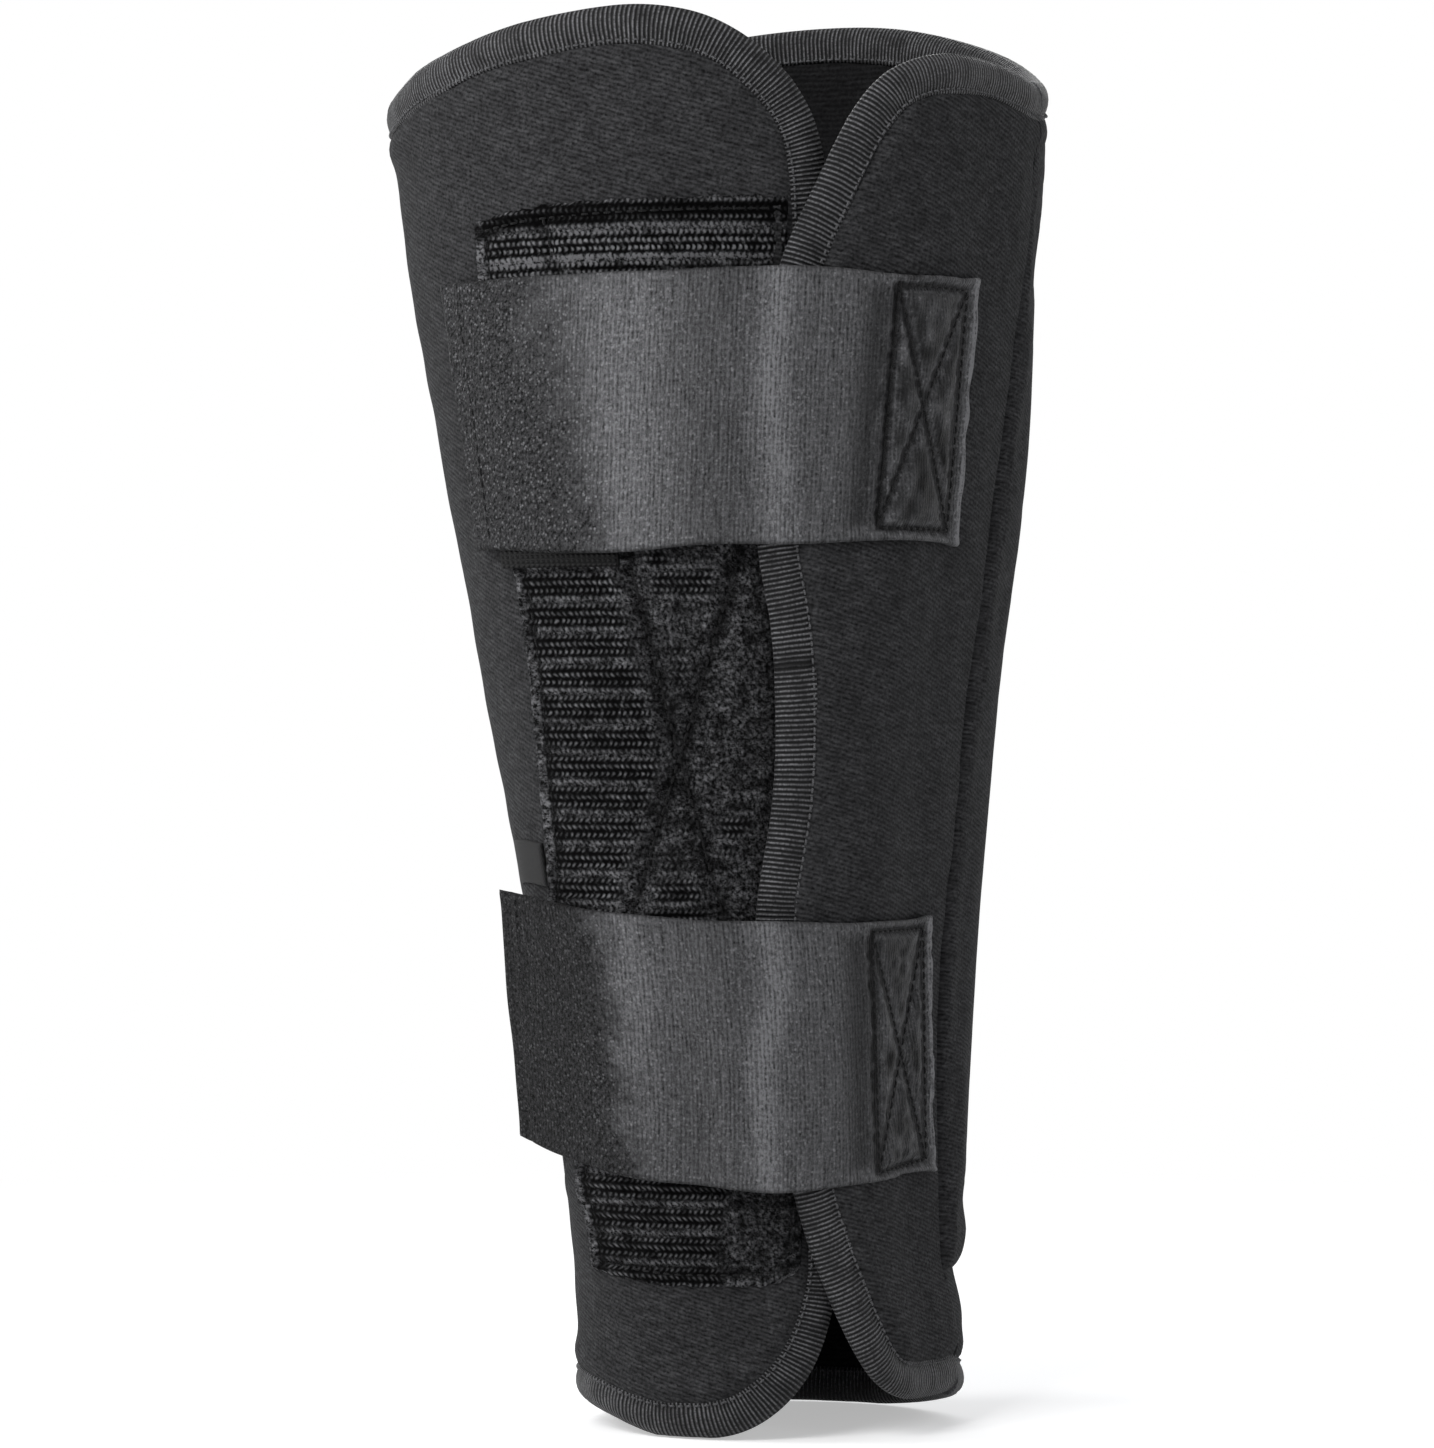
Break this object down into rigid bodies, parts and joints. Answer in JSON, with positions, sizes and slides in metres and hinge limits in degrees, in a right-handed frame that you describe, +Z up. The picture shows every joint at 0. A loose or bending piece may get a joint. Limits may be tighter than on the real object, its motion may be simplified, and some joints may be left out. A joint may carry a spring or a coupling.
{
  "type": "wrap shin guard",
  "caption": "Wrap-around padded shin guard that opens at the calf, with two elastic hook-and-loop straps closing over a loop panel.",
  "frame": {"origin": "Centre of the floor footprint of the closed guard, standing on its ankle end", "axes": "+Z up the leg to the knee end, +Y towards the shin pad, -Y towards the calf and the straps, +X towards the over-wing that carries the straps"},
  "size_m": [0.1658, 0.1712, 0.355],
  "materials": {
    "foam_rubber": "charcoal-black knit face on foam rubber",
    "lining": "matte near-black cloth",
    "pad_cover": "charcoal-black knit face on foam rubber",
    "pad_foam": "closed-cell foam",
    "edge_tape": "ribbed woven edge tape",
    "loop_fleece": "brushed fleece",
    "thread": "black thread",
    "label": "plain woven tag",
    "strap_elastic": "woven elastic with a soft sheen",
    "hook": "matte moulded hooks"
  },
  "bodies": {
    "front": {"sleeve_front": "foam_rubber", "lining_front": "lining", "pad_cover": "pad_cover", "pad_foam": "pad_foam", "top_binding_front": "edge_tape", "bottom_binding_front": "edge_tape"},
    "left_wing": {"left_wing_panel": "foam_rubber", "left_wing_lining": "lining", "left_binding": "edge_tape", "loop_panel": "loop_fleece", "loop_panel_stitching": "thread", "side_label": "label"},
    "right_wing": {"right_wing_panel": "foam_rubber", "right_wing_lining": "lining", "right_binding": "edge_tape", "upper_strap_anchor": "strap_elastic", "upper_anchor_stitching": "thread", "lower_strap_anchor": "strap_elastic", "lower_anchor_stitching": "thread"},
    "upper_strap": {"upper_strap": "strap_elastic", "upper_hook_patch": "hook"},
    "lower_strap": {"lower_strap": "strap_elastic", "lower_hook_patch": "hook"}
  },
  "joints": [
    {"name": "right_wing_fold", "type": "hinge", "parent": "front", "child": "right_wing", "pos_m": [0.0498, 0.0268, 0], "axis": [0.1009, -0.0822, 0.9915], "range_deg": [0, 60]},
    {"name": "left_wing_fold", "type": "hinge", "parent": "front", "child": "left_wing", "pos_m": [-0.0498, 0.0268, 0], "axis": [0.1009, 0.0822, -0.9915], "range_deg": [0, 24]},
    {"name": "upper_strap_peel", "type": "hinge", "parent": "right_wing", "child": "upper_strap", "pos_m": [0.06123, -0.04844, 0.2186], "axis": [0.1436, -0.0894, 0.9856], "range_deg": [0, 100]},
    {"name": "lower_strap_peel", "type": "hinge", "parent": "right_wing", "child": "lower_strap", "pos_m": [0.04806, -0.01629, 0.0634], "axis": [0.0618, -0.1956, 0.9787], "range_deg": [0, 100]}
  ],
  "couplings": [
    {"joint": "left_wing_fold", "follows": "right_wing_fold", "ratio": 0.38}
  ]
}
